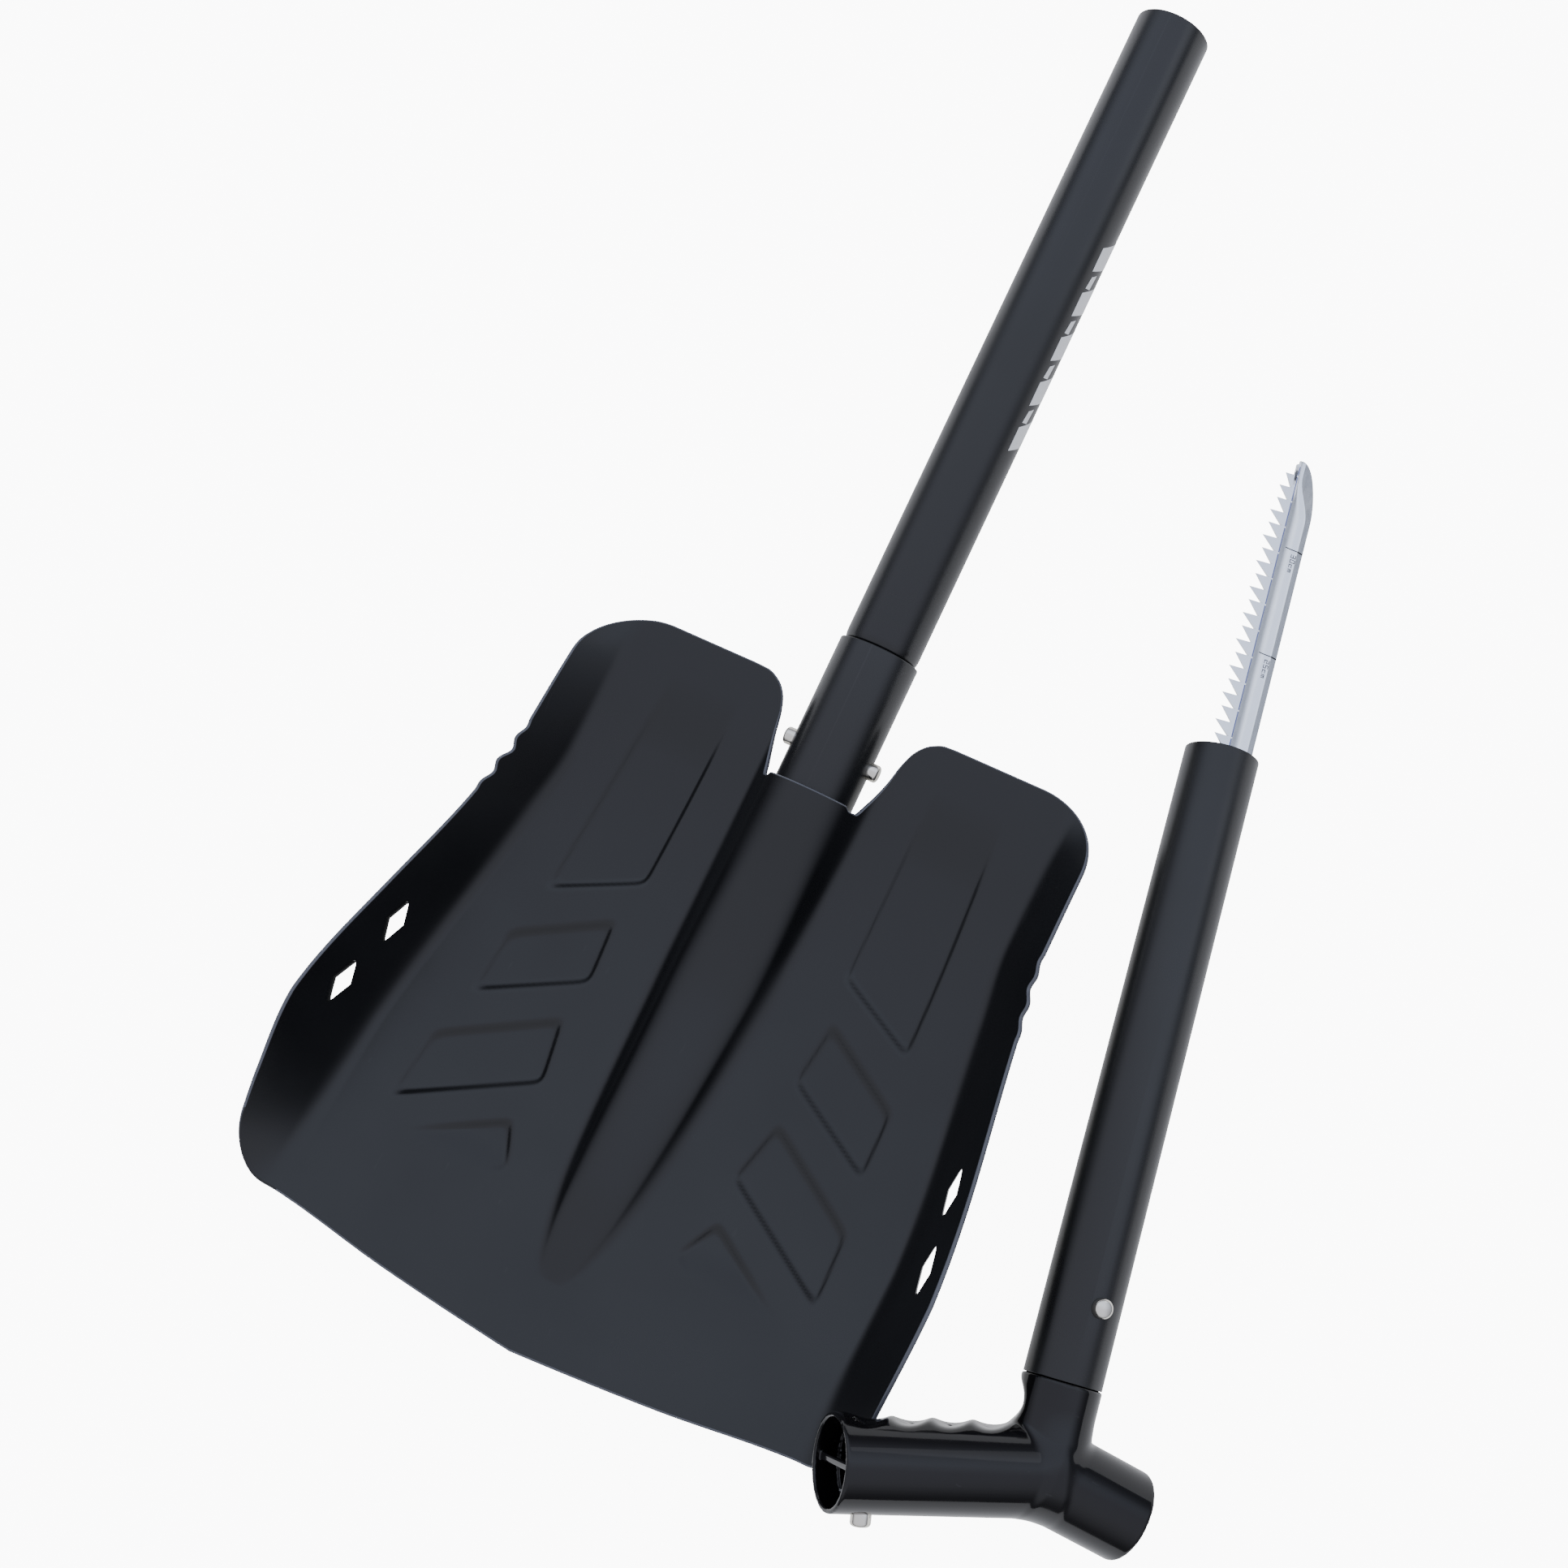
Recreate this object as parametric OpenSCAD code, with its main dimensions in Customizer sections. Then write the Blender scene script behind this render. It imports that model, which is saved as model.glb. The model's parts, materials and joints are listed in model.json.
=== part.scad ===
// Avalanche shovel: a blade on a short lower shaft, and a separate handle unit
// that carries a snow saw, laid side by side. Millimetres.
// X points right, Y along the shovel towards the shaft's open end, Z up from the floor.

/* [Blade] */
// Half width of the blade at the widest point of the side walls
blade_half = 144; // [120:1:160]
// Length from the neck to the point of the cutting edge
blade_len = 254; // [220:1:290]
// How far the ears reach past the neck
ear_len = 43; // [30:1:60]
// Sheet thickness
sheet = 2; // [1.5:0.1:3]
// Height of the side walls above the floor of the scoop
wall_high = 40; // [20:1:60]
// Height of the cutting edge above the shaft axis
scoop_rise = 62; // [40:1:80]
// Height of the centre rib above the shaft axis at the neck
rib_high = 21.2; // [20:0.1:28]
// Depth of the stamped stiffening panels
panel_deep = 1.6; // [0:0.1:3]

/* [Lower shaft] */
// Outside diameter of the shaft tube
shaft_od = 34.3; // [30:0.1:38]
// Bore of the shaft tube
shaft_id = 31.9; // [28:0.1:36]
// Distance from the neck to the shaft's open end
shaft_top = 377; // [300:1:420]
// Outside diameter of the swaged end that goes into the socket
swage_od = 32.0; // [28:0.1:34]
// Outside diameter of the socket
socket_od = 36.8; // [34:0.1:40]
// Bore of the socket
socket_id = 32.2; // [28.2:0.1:34.2]
// How far the socket stands out of the neck
socket_out = 68; // [50:1:90]
// How far the socket runs back under the rib
socket_in = 78; // [50:1:90]
// Distance from the neck to the lock buttons
lock_at = 19.2; // [12:0.1:40]

/* [Handle unit] */
// Outside diameter of the handle tube
tube_od = 31.5; // [28:0.1:34]
// Bore of the handle tube
tube_id = 28.5; // [26:0.1:31]
// Length of the handle tube
tube_len = 263; // [220:1:300]
// Diameter of every push button
button_d = 7.9; // [6:0.1:10]
// Outside diameter of the grip arms
arm_od = 36; // [32:0.5:40]
// Length of the long arm from the crossing
arm_long = 86; // [70:1:100]
// Length of the short arm from the crossing
arm_short = 41.5; // [35:1:60]
// Angle that the arms sweep back from square
arm_sweep = 11.25; // [0:0.25:20]

/* [Saw] */
// Length from the tube mouth to the tip of the saw
saw_out = 140.5; // [100:1:160]
// Width of the saw over the teeth
saw_wide = 20.3; // [16:0.5:24]
// Distance from one tooth to the next
tooth_pitch = 6.2; // [4:0.1:8]
// Depth of the teeth
tooth_deep = 6.9; // [3:0.1:9]
// Sheet thickness of the saw
saw_sheet = 1.4; // [1:0.1:2]

/* [Hidden] */
$fn = 96;
eps = 0.01;

// The whole layout is moved so that its box stands centred on the origin.
place = [-54.89, -61.5, 0];
axis_z = socket_od / 2;

// Where the handle unit lies: the lower end of its tube, then turned, tipped and rolled.
handle_at = [201.3, -170.6, 66.3];
handle_turn = 10.4;
handle_tip = 8.6;
handle_roll = 30;

hole_d = button_d + 0.1;
button_out = 4.6;
dome = 1.1;

// Satin black, gloss black, nickel, spring steel, saw metal.
coat = [0.10, 0.105, 0.115];
gloss = [0.06, 0.06, 0.07];
nickel = [0.80, 0.79, 0.75];
steel = [0.55, 0.56, 0.58];
saw_metal = [0.82, 0.85, 0.92];

// ---- Blade surface ----
half_cells = 28;
long_cells = 40;

// Straight lines from knot to knot, and an eased step from 0 to 1.
function along(v, k) = lookup(v, k);
function ease(t) = let (c = min(1, max(0, t))) c * c * (3 - 2 * c);

// Height of the scoop's floor along its middle, from the neck (y = 0) to the edge.
function belly(y) = y > 0 ? -0.06 * y
    : let (t = -y / blade_len) 15 * t + (scoop_rise - 15) * t * t;

// The centre rib: a half pipe over the socket that narrows to a keel, with a fillet to the floor.
function rib_up(y) = along(y, [[-226, 0], [-205, 4.2], [-180, 8.2], [-130, 12],
                               [-80, 14], [0, rib_high]]);
function rib_wide(y) = along(y, [[-228, 4], [-215, 9], [-190, 14], [-150, 17.5],
                                 [-110, 19.5], [-86, 20.5], [0, rib_high]]);
function dome(q) = q < 0.95 ? sqrt(1 - q * q) : 0.312 - 3.04 * (q - 0.95);
function soft_floor(a, k) = max(a, 0) + pow(max(k - abs(a), 0), 2) / (4 * k);
function rib(x, y) = let (h = rib_up(y)) h < 0.1 ? 0
    : soft_floor(h * dome(abs(x) / rib_wide(y)), 1.1 * h);

// Side edge: half width, and height of the wall at the edge above the floor.
function edge_half(y) = along(y, [[-240, 141], [-218, 142.5], [-172, blade_half],
                                  [-158, blade_half], [-60, 127.4], [-24, 122], [60, 121.5]]);
function edge_up(y) = wall_high * along(y, [[-256, 0.12], [-240, 0.24], [-225, 0.41], [-200, 0.72],
    [-161, 1], [-110, 0.81], [-57, 0.59], [-24, 0.52], [17, 0.37], [30, 0.25], [43, 0.08]]);
function wall(x, y) = let (
    flat = 0.835 * edge_half(y),
    t = max(0, (abs(x) - flat) / (edge_half(y) - flat)),
    bend = 0.35)
    edge_up(y) * (t < bend ? t * t / (bend * (2 - bend)) : (2 * t - bend) / (2 - bend));

// Stamped panels, right half, corners in turn.
panels = [
    [[48, 26], [86, 24], [87, -60], [89, -86], [49, -66]],
    [[53, -87], [92, -109.5], [93, -137.5], [50, -114]],
    [[52, -133.5], [98, -160.5], [100, -190], [46, -159.5]],
    [[49, -179], [88, -202], [80, -212], [42, -188]]];
function side_of(p, a, b) = ((b.x - a.x) * (p.y - a.y) - (b.y - a.y) * (p.x - a.x)) / norm(b - a);
function inside(p, c) = min([for (i = [0:len(c) - 1]) -side_of(p, c[i], c[(i + 1) % len(c)])]);
function panel(x, y) = panel_deep * max([for (c = panels) ease(inside([abs(x), y], c) / 5 + 0.3)]);

function top_of(x, y) = belly(y) + rib(x, y) + wall(x, y) - panel(x, y);
function drop_of(x, y) = let (
    sx = (top_of(x + 1, y) - top_of(x - 1, y)) / 2,
    sy = (top_of(x, y + 1) - top_of(x, y - 1)) / 2)
    sheet * sqrt(1 + sx * sx + sy * sy);

// Outline: y of the top edge and of the cutting edge for a share s of the half width.
notch = 20 / 121;
function top_edge(s) = let (a = abs(s)) along(a, [[0, 0], [notch, -1.5], [0.172, -1.5], [0.2, 2],
    [0.235, 18], [0.25, 28], [0.29, 36], [0.34, 40.5], [0.4, ear_len], [0.74, ear_len], [0.82, 41.5],
    [0.9, 36.5], [0.95, 30], [0.985, 22], [1, 14]]);
function low_edge(s) = let (a = abs(s)) along(a, [[0, -blade_len], [0.05, -blade_len + 0.2],
    [0.45, -249], [0.8, -241.5], [0.9, -238.5], [0.95, -235], [0.985, -228], [1, -218]]);
// Three shallow waves on the side edge below the ears.
function waves(y) = y < -22 && y > -60 ? 1.1 * sin((y + 22) * 360 / 13) : 0;

// Shares across: close together at the neck and at the folded sides.
cols = [for (i = [-half_cells:half_cells]) let (a = abs(i) / half_cells)
    sign(i) * (a < 0.375 ? a / 0.375 * 0.27 : a < 0.65 ? 0.27 + (a - 0.375) / 0.275 * 0.51
                         : 0.78 + (a - 0.65) / 0.35 * 0.22)];
function row_y(s, j) = low_edge(s) + (top_edge(s) - low_edge(s)) * j / long_cells;
function spot(s, y) = [s * (edge_half(y) + waves(y) * pow(abs(s), 8)), y];

module blade() {
    n = len(cols);
    m = long_cells + 1;
    flat_pts = [for (j = [0:m - 1]) for (s = cols) spot(s, row_y(s, j))];
    tops = [for (p = flat_pts) [p.x, p.y, top_of(p.x, p.y)]];
    lows = [for (p = flat_pts) [p.x, p.y, top_of(p.x, p.y) - drop_of(p.x, p.y)]];
    function at(i, j) = j * n + i;
    low = n * m;
    faces = concat(
        [for (j = [0:m - 2]) for (i = [0:n - 2]) for (f = [
            [at(i, j), at(i, j + 1), at(i + 1, j + 1)], [at(i, j), at(i + 1, j + 1), at(i + 1, j)],
            [low + at(i, j), low + at(i + 1, j + 1), low + at(i, j + 1)],
            [low + at(i, j), low + at(i + 1, j), low + at(i + 1, j + 1)]]) f],
        [for (i = [0:n - 2]) for (f = [
            [at(i, 0), at(i + 1, 0), low + at(i + 1, 0)], [at(i, 0), low + at(i + 1, 0), low + at(i, 0)],
            [at(i, m - 1), low + at(i + 1, m - 1), at(i + 1, m - 1)],
            [at(i, m - 1), low + at(i, m - 1), low + at(i + 1, m - 1)]]) f],
        [for (j = [0:m - 2]) for (f = [
            [at(0, j), low + at(0, j + 1), at(0, j + 1)], [at(0, j), low + at(0, j), low + at(0, j + 1)],
            [at(n - 1, j), at(n - 1, j + 1), low + at(n - 1, j + 1)],
            [at(n - 1, j), low + at(n - 1, j + 1), low + at(n - 1, j)]]) f]);
    color(coat) in_shovel() difference() {
        polyhedron(points = concat(tops, lows), faces = faces, convexity = 10);
        for (side = [-1, 1]) for (hole = diamonds)
            translate([0, 0, 20]) linear_extrude(80)
                polygon([for (p = hole) [side * p.x, p.y]]);
    }
}

// Two slots like long diamonds through each side wall.
function diamond(x, y) = [[x, y], [x + 3.1, y - 11.5], [x + 1.4, y - 23.5], [x - 1.6, y - 12]];
diamonds = [diamond(130.4, -113), diamond(135, -143.6)];

// ---- Placement helpers ----
module in_shovel() { translate(place + [0, 0, axis_z]) children(); }
module in_handle() {
    translate(place + handle_at) rotate([0, 0, handle_turn]) rotate([-handle_tip, 0, 0])
        rotate([0, handle_roll, 0]) children();
}
// A cylinder along +Y from one distance to another.
module along_y(from, to, d) { translate([0, from, 0]) rotate([-90, 0, 0]) cylinder(d = d, h = to - from); }
// A strip whose outline lies in the plane of Y and Z, as wide as w along X.
module strip_yz(points, w) {
    translate([-w / 2, 0, 0]) rotate([90, 0, 90]) linear_extrude(w) polygon(points);
}

// ---- Socket and lower shaft ----
module socket() {
    color(coat) in_shovel() difference() {
        along_y(-socket_in, socket_out, socket_od);
        along_y(-socket_in - 1, socket_out + 1, socket_id);
        lock_hole(socket_od + 4);
    }
}
module lock_hole(w) { translate([-w / 2, lock_at, 0]) rotate([0, 90, 0]) cylinder(d = hole_d, h = w); }

// Weld beads that fill the wedge between the socket's sides and the back of the sheet.
module socket_welds() {
    steps = 12;
    n = 8;
    r = socket_od / 2 + 0.1;
    function back(x, y) = top_of(x, y) - drop_of(x, y) - 0.25;
    function ring(y) = concat(
        [for (a = [-30:6:0]) let (t = a + asin(belly(y) / r)) [r * cos(t), y, r * sin(t)]],
        [for (x = [21.8, 23.4]) [x, y, back(x, y)]]);
    pts = [for (k = [0:steps]) for (p = ring(-8 - 60 * k / steps)) p];
    body = [for (k = [0:steps - 1]) for (i = [0:n - 1]) let (a = n * k + i, b = n * k + (i + 1) % n)
        for (f = [[a, b, b + n], [a, b + n, a + n]]) f];
    ends = [for (i = [0:n - 3]) for (f = [[i + 1, i, n - 1],
        [n * steps + n - 1, n * steps + i, n * steps + i + 1]]) f];
    color(coat) in_shovel() for (side = [0, 1]) mirror([side, 0, 0])
        polyhedron(points = pts, faces = concat(body, ends));
}

swage_from = 3;
swage_to = socket_out + 0.4;
shoulder = 4;
module lower_shaft() {
    wall_t = (shaft_od - shaft_id) / 2;
    color(coat) in_shovel() difference() {
        union() {
            along_y(swage_from, swage_to + eps, swage_od);
            translate([0, swage_to, 0]) rotate([-90, 0, 0])
                cylinder(d1 = swage_od, d2 = shaft_od, h = shoulder);
            along_y(swage_to + shoulder - eps, shaft_top, shaft_od);
        }
        along_y(swage_from - 1, swage_to + 1, swage_od - 2 * wall_t);
        translate([0, swage_to + 0.6, 0]) rotate([-90, 0, 0])
            cylinder(d1 = swage_od - 2 * wall_t, d2 = shaft_id, h = shoulder);
        along_y(swage_to + shoulder, shaft_top + 1, shaft_id);
        lock_hole(shaft_od + 4);
    }
}

// The double spring: one bent strip with a leg under each button.
leg_x = 13.5;
spring_t = 0.8;
module lock_spring() {
    bend_y = 58;
    leg = leg_x - spring_t;
    bend = 4 - spring_t;
    color(steel) in_shovel() translate([0, 0, -5]) linear_extrude(10) polygon(concat(
        [[leg_x, lock_at - 8], [leg_x, lock_at + 10.2]],
        [for (a = [0:15:180]) [4 * cos(a), bend_y + 4 * sin(a)]],
        [[-leg_x, lock_at + 10.2], [-leg_x, lock_at - 8], [-leg, lock_at - 8], [-leg, lock_at + 10]],
        [for (a = [180:-15:0]) [bend * cos(a), bend_y + bend * sin(a)]],
        [[leg, lock_at + 10], [leg, lock_at - 8]]));
}

// A push button along +Z: shank from `from` to its domed head at `to`.
module button(from, to) {
    color(nickel) union() {
        translate([0, 0, from]) cylinder(d = button_d, h = to - dome - from);
        translate([0, 0, to - dome - eps]) cylinder(d1 = button_d, d2 = button_d - 2.2, h = dome);
    }
}
module left_lock_button() {
    in_shovel() translate([0, lock_at, 0]) rotate([0, -90, 0]) button(leg_x, socket_od / 2 + button_out);
}
module right_lock_button() {
    in_shovel() translate([0, lock_at, 0]) rotate([0, 90, 0]) button(leg_x, socket_od / 2 + button_out);
}

// ---- Handle unit ----
grip_button_at = 30;
spigot_od = tube_id - 0.2;
spigot_id = 23;
spigot_len = 54;
neck_d = 32;
crossing = 34;
arm_id = 29;
mouth_id = 32;
mouth_deep = 9;
arm_button_in = 14;
scallops = 4;
groove_pitch = 16.8;
groove_from = 22;
groove_r = 11;
groove_deep = 2.6;

module upper_shaft() {
    color(coat) in_handle() difference() {
        along_y(0, tube_len, tube_od);
        along_y(-1, tube_len + 1, tube_id);
        translate([0, grip_button_at, 0]) cylinder(d = hole_d, h = tube_od);
    }
}

// Frames of the two arms: Z runs out along the arm, Y towards the tube.
module long_arm() {
    translate([0, -crossing, 0]) rotate([0, 0, arm_sweep]) rotate([0, -90, 0]) children();
}
module short_arm() {
    translate([0, -crossing, 0]) rotate([0, 0, -arm_sweep]) rotate([0, 90, 0]) children();
}
// The arm button's line: square to the long arm, away from the tube.
module arm_button_line() {
    long_arm() translate([0, 0, arm_long - arm_button_in]) rotate([90, 0, 0]) children();
}
// The two rivets through the spigot and the tang of the saw.
module saw_pins(reach) {
    for (y = [42.5, 49.5]) translate([0, y, -reach]) cylinder(d = 4, h = 2 * reach);
}

module grip() {
    color(gloss) in_handle() {
        difference() {
            union() {
                along_y(-1 - eps, spigot_len, spigot_od);
                along_y(-crossing, -1, neck_d);
                long_arm() cylinder(d = arm_od, h = arm_long);
                short_arm() cylinder(d = arm_od, h = arm_short);
                translate([0, -crossing, 0]) sphere(d = arm_od);
            }
            // Room for the button spring, closed by the clamp that holds the saw.
            along_y(-14, 38, spigot_id);
            translate([0, grip_button_at, 0]) cylinder(d = hole_d, h = tube_od);
            translate([-10.6, 37, -saw_sheet / 2]) cube([21.2, spigot_len, saw_sheet]);
            saw_pins(spigot_od);
            // Hollow arms.
            long_arm() {
                translate([0, 0, 24]) cylinder(d = arm_id, h = arm_long);
                translate([0, 0, arm_long - mouth_deep]) cylinder(d = mouth_id, h = mouth_deep + 1);
            }
            short_arm() translate([0, 0, 22]) cylinder(d = arm_id, h = arm_short);
            arm_button_line() cylinder(d = hole_d, h = arm_od);
            // Finger grooves on the side towards the tube.
            long_arm() for (k = [0:scallops - 1])
                translate([0, arm_od / 2 + groove_r - groove_deep, groove_from + k * groove_pitch])
                    rotate([0, 90, 0]) cylinder(r = groove_r, h = arm_od, center = true);
        }
        // Stiffening web across the long arm.
        long_arm() intersection() {
            translate([-arm_id, -1, 22]) cube([2 * arm_id, 2, arm_long - 24.5]);
            cylinder(d = arm_id + 0.4, h = arm_long);
        }
    }
}

module grip_button() {
    in_handle() translate([0, grip_button_at, 0]) button(9.7, tube_od / 2 + 3.8);
}
module grip_spring() {
    color(steel) in_handle() strip_yz([[28, -10.5], [-6, -10.5], [-11, -6], [-11, -3], [22, 9.7],
        [36, 9.7], [36, 8.9], [22.3, 8.9], [-10.2, -3.6], [-10.2, -5.6], [-5.7, -9.7], [28, -9.7]], 8);
}
module arm_button() { in_handle() arm_button_line() button(10.6, arm_od / 2 + button_out); }
module arm_spring() {
    color(steel) in_handle() long_arm() rotate([0, -90, 0]) linear_extrude(8, center = true)
        polygon([[72, -1.3], [42, -1.3], [39, -3], [39, -5], [64, -10.6], [80, -10.6], [80, -9.8],
            [64.1, -9.8], [39.8, -4.4], [39.8, -3.4], [42.3, -2.1], [72, -2.1]]);
}

// ---- Saw ----
// Its back runs along one side of the tube's bore; x of the back edge, tooth roots and fold line.
saw_back = tube_id / 2 - 0.35;
saw_root = saw_back - saw_wide + tooth_deep;
saw_fold = saw_root + 1.2;
saw_tip = tube_len + saw_out;
teeth_from = 74;
teeth = floor((saw_tip - 6 - teeth_from) / tooth_pitch);
fold = 14;
tip_long = 26;
// The rounded tip, from the back edge (a = 0) to the fold line.
function tip_share(a) = [saw_back - 10.8 * (1 - cos(a)), saw_tip - tip_long + tip_long * sin(a)];
// Teeth grow shorter over the last part of the saw.
function tooth_len(y) = (1 - 0.45 * max(0, y - saw_tip + 36) / 30);

module saw() {
    color(saw_metal) in_handle() difference() {
        union() {
            translate([0, 0, -saw_sheet / 2]) linear_extrude(saw_sheet) polygon(concat(
                [[-10, 39], [9, 39], [9, 61], [saw_back, 61]],
                [for (a = [0:9:90]) tip_share(a)],
                [[saw_fold, saw_tip - 1.5], [saw_fold, 61], [-10, 61]]));
            translate([saw_fold, 0, 0]) rotate([0, -fold, 0])
                translate([0, 0, -saw_sheet / 2]) linear_extrude(saw_sheet) polygon(concat(
                    [[0.6, teeth_from - 6], [0.6, saw_tip - 2], [-1.2, saw_tip - 2.5]],
                    [for (k = [teeth - 1:-1:0]) let (y = teeth_from + k * tooth_pitch,
                        deep = (tooth_deep - (k % 2) * 0.8) * tooth_len(y))
                        for (p = [[-1.2, y + tooth_pitch - 0.3], [-1.2 - deep, y + tooth_pitch - 0.3],
                                  [-1.2, y]]) p],
                    [[-1.2, teeth_from - 3]]));
        }
        saw_pins(spigot_od);
    }
}
module saw_rivets() { color(nickel) in_handle() saw_pins(spigot_od / 2 - 0.4); }

blade();
socket();
socket_welds();
lower_shaft();
lock_spring();
left_lock_button();
right_lock_button();
upper_shaft();
grip();
grip_button();
grip_spring();
arm_button();
arm_spring();
saw();
saw_rivets();
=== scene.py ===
"""Avalanche shovel: the blade with its lower shaft, and the handle unit with its snow saw beside it."""
import json
import math

import bmesh
import bpy
import numpy as np
from mathutils import Matrix, Vector


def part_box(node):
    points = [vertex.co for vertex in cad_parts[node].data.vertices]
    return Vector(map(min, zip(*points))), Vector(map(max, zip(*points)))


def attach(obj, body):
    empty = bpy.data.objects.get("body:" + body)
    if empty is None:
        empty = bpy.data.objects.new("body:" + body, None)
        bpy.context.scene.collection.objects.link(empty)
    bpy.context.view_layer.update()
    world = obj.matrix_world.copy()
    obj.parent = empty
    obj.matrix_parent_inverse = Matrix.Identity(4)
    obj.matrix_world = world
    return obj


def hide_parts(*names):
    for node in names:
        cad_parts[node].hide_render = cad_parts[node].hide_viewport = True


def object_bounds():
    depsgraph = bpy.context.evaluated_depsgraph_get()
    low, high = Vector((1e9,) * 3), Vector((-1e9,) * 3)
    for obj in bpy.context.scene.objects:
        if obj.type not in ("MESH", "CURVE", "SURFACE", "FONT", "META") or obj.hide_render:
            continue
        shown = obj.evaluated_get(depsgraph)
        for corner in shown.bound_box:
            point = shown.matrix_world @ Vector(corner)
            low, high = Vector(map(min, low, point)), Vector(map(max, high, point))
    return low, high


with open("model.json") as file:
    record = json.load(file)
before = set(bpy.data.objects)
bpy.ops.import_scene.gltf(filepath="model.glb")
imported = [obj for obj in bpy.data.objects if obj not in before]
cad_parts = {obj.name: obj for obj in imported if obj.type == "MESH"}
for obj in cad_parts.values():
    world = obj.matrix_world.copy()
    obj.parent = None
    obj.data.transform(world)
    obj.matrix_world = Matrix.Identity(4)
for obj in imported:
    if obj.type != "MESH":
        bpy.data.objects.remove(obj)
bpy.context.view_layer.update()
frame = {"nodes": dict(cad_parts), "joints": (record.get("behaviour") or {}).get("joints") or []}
MM = 0.001


# ---- Frames ---------------------------------------------------------------
# The shovel's frame: origin at the neck on the socket's axis, Y along the shaft, Z up.
SOCKET_IN, SOCKET_OUT, SHAFT_TOP = 78.0, 68.0, 377.0
SOCKET_R, SHAFT_R, SHAFT_BORE, SWAGE_R = 18.4, 17.15, 15.95, 16.0
LOCK_AT = 19.2
low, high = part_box("socket")
SHOVEL = Matrix.Translation(((low.x + high.x) / 2, low.y + SOCKET_IN * MM, (low.z + high.z) / 2))

# The handle unit's frame: origin at the tube's lower end, Y to its mouth,
# -X to the long arm, Z along the grip button.
TUBE_LEN, TUBE_R, TUBE_BORE = 263.0, 15.75, 14.25
axis = {j["name"]: -Vector(j["axis"]) for j in frame["joints"]}
hy, hz = axis["grip_slide"].normalized(), axis["grip_button_press"].normalized()
hx = hy.cross(hz)
low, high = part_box("upper_shaft")
HANDLE = Matrix((hx, hy, hz)).transposed().to_4x4()
HANDLE.translation = (low + high) / 2 - hy * TUBE_LEN / 2 * MM

GRIP_BUTTON_AT, CROSSING, SWEEP = 30.0, 34.0, math.radians(11.25)
ARM_R, ARM_LONG, ARM_SHORT, ARM_BORE, MOUTH_BORE, MOUTH_DEEP = 18.0, 86.0, 41.5, 14.5, 16.0, 9.0
ARM_BUTTON_IN, SPIGOT_LEN, BUTTON_R, BUTTON_OUT = 14.0, 54.0, 3.95, 4.6
BUTTON_HOLE, HOLE_REACH = 4.0, 24.0
LONG_ARM = Vector((-math.cos(SWEEP), -math.sin(SWEEP), 0))
SHORT_ARM = Vector((math.cos(SWEEP), -math.sin(SWEEP), 0))
CROSS = Vector((0, -CROSSING, 0))
# The arm button's place on the long arm's axis, and its direction square to it.
ARM_BUTTON_AT = CROSS + LONG_ARM * (ARM_LONG - ARM_BUTTON_IN)
ARM_SQUARE = Vector((math.sin(SWEEP), -math.cos(SWEEP), 0))


def look_along(origin, direction, side):
    """A matrix whose Y runs along direction and whose Z lies nearest to side."""
    y = Vector(direction).normalized()
    z = (Vector(side) - y * y.dot(Vector(side))).normalized()
    m = Matrix((y.cross(z), y, z)).transposed().to_4x4()
    m.translation = Vector(origin) * MM
    return m


# ---- Mesh helpers ---------------------------------------------------------
def add(name, verts, faces, place, body, node_names=(), material=None, sharp=35):
    """A mesh piece from millimetre points in the frame `place`, riding on a body."""
    mesh = bpy.data.meshes.new(name)
    mesh.from_pydata([tuple(v) for v in np.asarray(verts, float) * MM], [], faces)
    mesh.validate()
    obj = bpy.data.objects.new(name, mesh)
    bpy.context.scene.collection.objects.link(obj)
    mesh.transform(place)
    finish_mesh(obj, sharp)
    if material:
        mesh.materials.append(material)
    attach(obj, body)
    if node_names:
        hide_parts(*node_names)
    return obj


def finish_mesh(obj, sharp=35):
    """Outward faces, smooth shading, and sharp edges where faces meet at more than `sharp` degrees."""
    bm = bmesh.new()
    bm.from_mesh(obj.data)
    bmesh.ops.remove_doubles(bm, verts=bm.verts, dist=1e-7)
    bmesh.ops.recalc_face_normals(bm, faces=bm.faces)
    for f in bm.faces:
        f.smooth = True
    bm.to_mesh(obj.data)
    bm.free()
    obj.data.set_sharp_from_angle(angle=math.radians(sharp))


def apply_modifiers(obj, sharp=35):
    deps = bpy.context.evaluated_depsgraph_get()
    mesh = bpy.data.meshes.new_from_object(obj.evaluated_get(deps))
    obj.modifiers.clear()
    old, obj.data = obj.data, mesh
    bpy.data.meshes.remove(old)
    finish_mesh(obj, sharp)


def cut(obj, *cutters, sharp=35):
    """Takes the cutters' solids out of obj."""
    for c in cutters:
        m = obj.modifiers.new("cut", "BOOLEAN")
        m.operation, m.object, m.solver = "DIFFERENCE", c, "EXACT"
    apply_modifiers(obj, sharp)
    for c in cutters:
        mesh = c.data
        bpy.data.objects.remove(c)
        bpy.data.meshes.remove(mesh)


def loose(name, verts, faces, place):
    """A helper solid that isn't a piece of the object, such as a cutter."""
    mesh = bpy.data.meshes.new(name)
    mesh.from_pydata([tuple(v) for v in np.asarray(verts, float) * MM], [], faces)
    obj = bpy.data.objects.new(name, mesh)
    bpy.context.scene.collection.objects.link(obj)
    mesh.transform(place)
    finish_mesh(obj)
    return obj


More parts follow.
